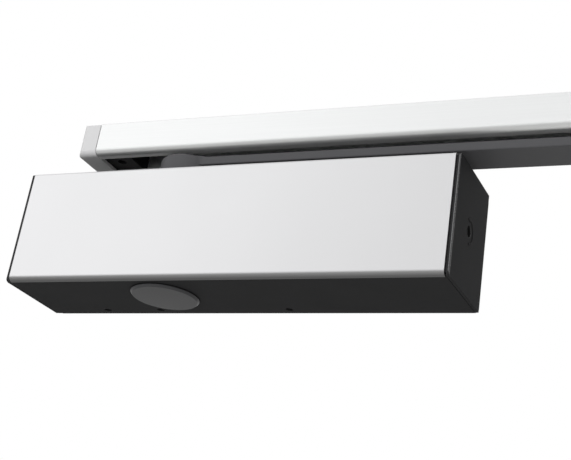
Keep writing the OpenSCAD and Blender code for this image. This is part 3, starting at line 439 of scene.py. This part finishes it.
# A curved arrow moulded proud of the right cap shows the way to turn the spring screw.
face_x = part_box("right_end_cap")[1].x
screw_low, screw_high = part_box("adjusting_screw")
screw_axis = (screw_low + screw_high) / 2
arrow_r = 6 * MM
band_w = 1 * MM
sweep_deg = 175
head_w = 3.2 * MM
head_len = 2.8 * MM
head_droop = 0.5 * MM
proud = 0.25 * MM
root = -0.05 * MM
shape = bmesh.new()
corners = [(root, -band_w / 2), (proud, -band_w / 2), (proud, band_w / 2), (root, band_w / 2)]
ring = [shape.verts.new((face_x + x, screw_axis.y, screw_axis.z + arrow_r + r)) for x, r in corners]
wire = [shape.edges.new(pair) for pair in zip(ring, ring[1:] + ring[:1])]
bmesh.ops.spin(shape, geom=ring + wire, cent=(face_x, screw_axis.y, screw_axis.z), axis=(-1, 0, 0),
               angle=radians(sweep_deg), steps=36, use_merge=False)
bmesh.ops.holes_fill(shape, edges=[edge for edge in shape.edges if edge.is_boundary])
head = [shape.verts.new((face_x + root, screw_axis.y + y, screw_axis.z + arrow_r + z))
        for y, z in ((0, -head_w / 2), (0, head_w / 2), (-head_len, -head_droop))]
flat = shape.faces.new(head)
drawn = bmesh.ops.extrude_face_region(shape, geom=[flat])["geom"]
raised = [item for item in drawn if isinstance(item, bmesh.types.BMVert)]
bmesh.ops.translate(shape, verts=raised, vec=(proud - root, 0, 0))
bmesh.ops.recalc_face_normals(shape, faces=shape.faces)
arrow = finished(shape, "turn_arrow", black_plastic, 0.06 * MM)
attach(arrow, "closer_body")


# ---------------------------------------------------------------------------------------
# Front fascia: folded aluminium sheet, matt etched and silver anodised. Its lower edge is
# rolled back over a wide radius and its upper edge over a smaller one.

low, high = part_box("front_fascia")
sheet_t = 1.5 * MM
roll_r = 3 * MM
fold_r = 1.9 * MM

# The etch leaves a fine, even matt with no lines, drawn here as coarse as it needs to show.
etch_grain = 0.4 * MM
cloud_size = 60 * MM
anodised, tree, shader, place = new_finish("etched_silver_anodising")
etch = add(tree, "ShaderNodeTexNoise", {"Vector": place, "Scale": 1 / etch_grain, "Detail": 3})
clouds = add(tree, "ShaderNodeTexNoise", {"Vector": place, "Scale": 1 / cloud_size, "Detail": 2})
tone = add(tree, "ShaderNodeMix", {"Factor": clouds.outputs["Fac"], COLOUR_A: hex_colour("#d2d2d3"),
                                   COLOUR_B: hex_colour("#d6d6d7")}, data_type="RGBA")
matt = add(tree, "ShaderNodeMapRange", {"Value": etch.outputs["Fac"], "To Min": 0.33, "To Max": 0.39})
relief = add(tree, "ShaderNodeBump", {"Height": etch.outputs["Fac"], "Strength": 0.12, "Distance": 0.02 * MM})
# Over the lower roll the colour darkens to grey towards the edge. This is painted shade for the dark
# reflection that the rolled edge shows.
height = add(tree, "ShaderNodeSeparateXYZ", {"Vector": place})
roll_shade_mask = add(tree, "ShaderNodeMapRange",
             {"Value": height.outputs["Z"], "From Min": low.z, "From Max": low.z + roll_r},
             interpolation_type="SMOOTHSTEP")
roll_shaded_tone = add(tree, "ShaderNodeMix", {"Factor": roll_shade_mask.outputs["Result"], COLOUR_A: hex_colour("#69696a"),
                                     COLOUR_B: tone.outputs[MIXED]}, data_type="RGBA")
feed(shader, {"Metallic": 1, "Base Color": roll_shaded_tone.outputs[MIXED],
              "Roughness": matt.outputs["Result"], "Normal": relief.outputs["Normal"]})


def extruded(outline, x0, x1, roundings):
    """A closed outline of (y, z) corners drawn out along X, with the corners of each rounding made round.

    roundings holds (radius, segments, corners), where corners are points of the outline."""
    same_point = 0.01 * MM
    shape = bmesh.new()
    ring = [shape.verts.new((x0, y, z)) for y, z in outline]
    end = shape.faces.new(ring)
    drawn = bmesh.ops.extrude_face_region(shape, geom=[end])["geom"]
    moved = [item for item in drawn if isinstance(item, bmesh.types.BMVert)]
    bmesh.ops.translate(shape, verts=moved, vec=(x1 - x0, 0, 0))
    for radius, segments, corners in roundings:
        folds = []
        for edge in shape.edges:
            first, second = (vert.co for vert in edge.verts)
            runs_along = abs(first.x - second.x) > abs(x1 - x0) / 2
            if runs_along and any(hypot(first.y - y, first.z - z) < same_point for y, z in corners):
                folds.append(edge)
        bmesh.ops.bevel(shape, geom=folds, offset=radius, offset_type="OFFSET", affect="EDGES",
                        segments=segments, profile=0.5, material=-1, clamp_overlap=False)
    bmesh.ops.recalc_face_normals(shape, faces=shape.faces)
    return shape


outer_low, outer_high = (low.y, low.z), (low.y, high.z)
inner_low, inner_high = (low.y + sheet_t, low.z + sheet_t), (low.y + sheet_t, high.z - sheet_t)
shape = extruded(
    [(high.y, low.z), outer_low, outer_high, (high.y, high.z),
     (high.y, high.z - sheet_t), inner_high, inner_low, (high.y, low.z + sheet_t)],
    low.x, high.x,
    [(roll_r, 14, [outer_low]), (fold_r, 10, [outer_high]),
     (roll_r - sheet_t, 10, [inner_low]), (fold_r - sheet_t, 6, [inner_high])])
fascia = finished(shape, "fascia_sheet", anodised, 0.12 * MM)
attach(fascia, "closer_body")
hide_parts("front_fascia")


# ---------------------------------------------------------------------------------------
# Spindle cap: a bevelled and slightly crowned disc of dark grey plastic. Its spigot snaps
# into the cover's opening over the spindle's unused end.

# A smoother mould than the cover's makes it a tone lighter and gives it a soft sheen.
cap_grain = 0.8 * MM
dark_grey, tree, shader, place = new_finish("smooth_dark_grey_abs")
grain = add(tree, "ShaderNodeTexNoise", {"Vector": place, "Scale": 1 / cap_grain, "Detail": 2})
matt = add(tree, "ShaderNodeMapRange", {"Value": grain.outputs["Fac"], "To Min": 0.38, "To Max": 0.48})
relief = add(tree, "ShaderNodeBump", {"Height": grain.outputs["Fac"], "Strength": 0.1, "Distance": 0.03 * MM})
feed(shader, {"Base Color": hex_colour("#3b3b3d"), "Specular IOR Level": 0.25,
              "Roughness": matt.outputs["Result"], "Normal": relief.outputs["Normal"]})

low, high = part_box("spindle_cap")
cap_centre = (low + high) / 2
cap_r = (high.x - low.x) / 2
cap_bevel = 1.1 * MM
rim_h = 0.2 * MM
rim_gap = 0.6 * MM
rim_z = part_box("cover_shell")[0].z - rim_gap
spigot_r = cap_r - 1.25 * MM
spigot_wall = 1.4 * MM
crown_h = 0.14 * MM
pole_weld = 0.002 * MM
# share of the radius, rise
crown = [(0, 0), (0.4, 0.02 * MM), (0.7, 0.07 * MM), (0.88, 0.12 * MM)]
profile = [(share * cap_r, low.z + rise) for share, rise in crown] + [
    (cap_r - cap_bevel, low.z + crown_h), (cap_r, rim_z - rim_h), (cap_r, rim_z),
    (spigot_r, rim_z), (spigot_r, high.z), (spigot_r - spigot_wall, high.z),
    (spigot_r - spigot_wall, rim_z), (0, rim_z)]
shape = bmesh.new()
points = [shape.verts.new((cap_centre.x + r, cap_centre.y, z)) for r, z in profile]
wire = [shape.edges.new(pair) for pair in zip(points, points[1:])]
bmesh.ops.spin(shape, geom=points + wire, cent=(cap_centre.x, cap_centre.y, 0), axis=(0, 0, 1),
               angle=2 * pi, steps=96, use_merge=True)
bmesh.ops.remove_doubles(shape, verts=shape.verts, dist=pole_weld)
bmesh.ops.recalc_face_normals(shape, faces=shape.faces)
spindle_cap = finished(shape, "spindle_cap_disc", dark_grey, 0.15 * MM, 3, sharp_deg=30)
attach(spindle_cap, "closer_body")
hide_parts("spindle_cap")


# ---------------------------------------------------------------------------------------
# Arm, with its screw and bush: a forged hub and flat bar, black powder coated, held on the
# spindle's square by a blackened socket screw. A sintered bush at its far end takes the stud.

# Powder flows out in a fine orange peel. Its matt skin scatters light, which greys the black.
peel_size = 1.5 * MM
powder_coat, tree, shader, place = new_finish("black_powder_coat")
peel = add(tree, "ShaderNodeTexNoise", {"Vector": place, "Scale": 1 / peel_size, "Detail": 2})
matt = add(tree, "ShaderNodeMapRange", {"Value": peel.outputs["Fac"], "To Min": 0.36, "To Max": 0.46})
relief = add(tree, "ShaderNodeBump",
             {"Height": peel.outputs["Fac"], "Strength": 0.15, "Distance": 0.06 * MM})
feed(shader, {"Base Color": hex_colour("#525254"), "Specular IOR Level": 0.06,
              "Roughness": matt.outputs["Result"], "Normal": relief.outputs["Normal"]})
dressed("arm", "spindle_and_arm", powder_coat, 0.25 * MM, 3)
dressed("arm_screw", "spindle_and_arm", blackened, 0.15 * MM)

# Pressed powder keeps open pores that hold its oil.
pore_size = 0.3 * MM
bronze, tree, shader, place = new_finish("oil_filled_bronze")
pores = add(tree, "ShaderNodeTexVoronoi", {"Vector": place, "Scale": 1 / pore_size})
tone = add(tree, "ShaderNodeMix", {"Factor": pores.outputs["Distance"], COLOUR_A: hex_colour("#6f5434"),
                                   COLOUR_B: hex_colour("#a07c50")}, data_type="RGBA")
feed(shader, {"Metallic": 0.9, "Roughness": 0.5, "Base Color": tone.outputs[MIXED]})
dressed("arm_bush", "spindle_and_arm", bronze, 0.15 * MM)


# ---------------------------------------------------------------------------------------
# Slide block with its washer and stud: the acetal block runs in the rail and turns on the
# arm's ground stud, which an open snap ring keeps in place below the arm.

# Natural acetal is a waxy off-white, faintly cloudy.
wax_patch = 8 * MM
acetal, tree, shader, place = new_finish("natural_acetal")
wax = add(tree, "ShaderNodeTexNoise", {"Vector": place, "Scale": 1 / wax_patch, "Detail": 3})
tone = add(tree, "ShaderNodeMix", {"Factor": wax.outputs["Fac"], COLOUR_A: hex_colour("#dcdacd"),
                                   COLOUR_B: hex_colour("#e6e5dc")}, data_type="RGBA")
feed(shader, {"Roughness": 0.35, "Base Color": tone.outputs[MIXED]})
for node in ("slide_block", "thrust_washer"):
    dressed(node, "slide_block", acetal, 0.2 * MM)
for node in ("pivot_stud", "retaining_ring"):
    dressed(node, "slide_block", ground_steel, 0.1 * MM)


# ---------------------------------------------------------------------------------------
# Guide rail: an aluminium channel, extruded and silver anodised, with its slot underneath
# and its long edges rounded.

# The die leaves faint lines along the rail. The etch before anodising softens them and leaves
# the oxide slightly milky, so a share of its light is scattered.
line_spacing = 0.7 * MM
line_stretch = 100
drawn_anodised, tree, shader, place = new_finish("drawn_silver_anodising")
along = add(tree, "ShaderNodeMapping", {"Vector": place, "Scale": (1 / line_stretch, 1, 1)})
die_lines = add(tree, "ShaderNodeTexNoise",
                {"Vector": along.outputs["Vector"], "Scale": 1 / line_spacing, "Detail": 2})
tone = add(tree, "ShaderNodeMix", {"Factor": die_lines.outputs["Fac"], COLOUR_A: hex_colour("#dedfdf"),
                                   COLOUR_B: hex_colour("#e4e5e5")}, data_type="RGBA")
matt = add(tree, "ShaderNodeMapRange", {"Value": die_lines.outputs["Fac"], "To Min": 0.36, "To Max": 0.42})
feed(shader, {"Metallic": 0.78, "Base Color": tone.outputs[MIXED], "Roughness": matt.outputs["Result"]})

low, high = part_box("rail")
wall = 2 * MM
slot_w = 17 * MM
rail_low_r = 3.5 * MM
rail_top_r = 0.8 * MM
centre_y = (low.y + high.y) / 2
slot_front, slot_back = centre_y - slot_w / 2, centre_y + slot_w / 2
front_in, back_in = low.y + wall, high.y - wall
floor_in, roof_in = low.z + wall, high.z - wall
shape = extruded(
    [(slot_front, low.z), (low.y, low.z), (low.y, high.z), (high.y, high.z), (high.y, low.z),
     (slot_back, low.z), (slot_back, floor_in), (back_in, floor_in), (back_in, roof_in),
     (front_in, roof_in), (front_in, floor_in), (slot_front, floor_in)],
    low.x, high.x,
    [(rail_low_r, 12, [(low.y, low.z), (high.y, low.z)]),
     (rail_top_r, 6, [(low.y, high.z), (high.y, high.z)])])
rail = finished(shape, "rail_channel", drawn_anodised, 0.12 * MM)
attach(rail, "guide_rail")
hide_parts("rail")


# ---------------------------------------------------------------------------------------
# Rail fixing pieces and their clamp screws: zinc die castings, dipped in a thin black coat,
# that sit in the rail's ends. Each is held there by a blackened screw.

# The dip coat is thin and matt, and the cast skin shows through it.
black_coat, tree, shader, place = new_finish("black_dip_coat")
skin = add(tree, "ShaderNodeTexNoise", {"Vector": place, "Scale": 1 / skin_grain, "Detail": 3})
matt = add(tree, "ShaderNodeMapRange", {"Value": skin.outputs["Fac"], "To Min": 0.5, "To Max": 0.65})
relief = add(tree, "ShaderNodeBump",
             {"Height": skin.outputs["Fac"], "Strength": 0.25, "Distance": 0.06 * MM})
feed(shader, {"Base Color": hex_colour("#1e1e1f"), "Specular IOR Level": 0.2,
              "Roughness": matt.outputs["Result"], "Normal": relief.outputs["Normal"]})
painted(black_coat, "rail_fixing_pieces")
painted(blackened, "rail_clamp_screws")


# ---------------------------------------------------------------------------------------
# Rail end caps: light grey plastic mouldings, pushed over the cast pieces in the rail's ends.
# Each has a hole in its back wall for the screw that fixes the rail.

# Fine matt mould texture, drawn here as coarse as it needs to show.
cap_texture = 0.6 * MM
light_grey, tree, shader, place = new_finish("matt_light_grey_abs")
grain = add(tree, "ShaderNodeTexNoise", {"Vector": place, "Scale": 1 / cap_texture, "Detail": 2})
matt = add(tree, "ShaderNodeMapRange", {"Value": grain.outputs["Fac"], "To Min": 0.5, "To Max": 0.6})
relief = add(tree, "ShaderNodeBump",
             {"Height": grain.outputs["Fac"], "Strength": 0.15, "Distance": 0.04 * MM})
feed(shader, {"Base Color": hex_colour("#cbcbcc"), "Specular IOR Level": 0.3,
              "Roughness": matt.outputs["Result"], "Normal": relief.outputs["Normal"]})
for side in ("left", "right"):
    dressed(side + "_rail_cap", "guide_rail", light_grey, 0.12 * MM)
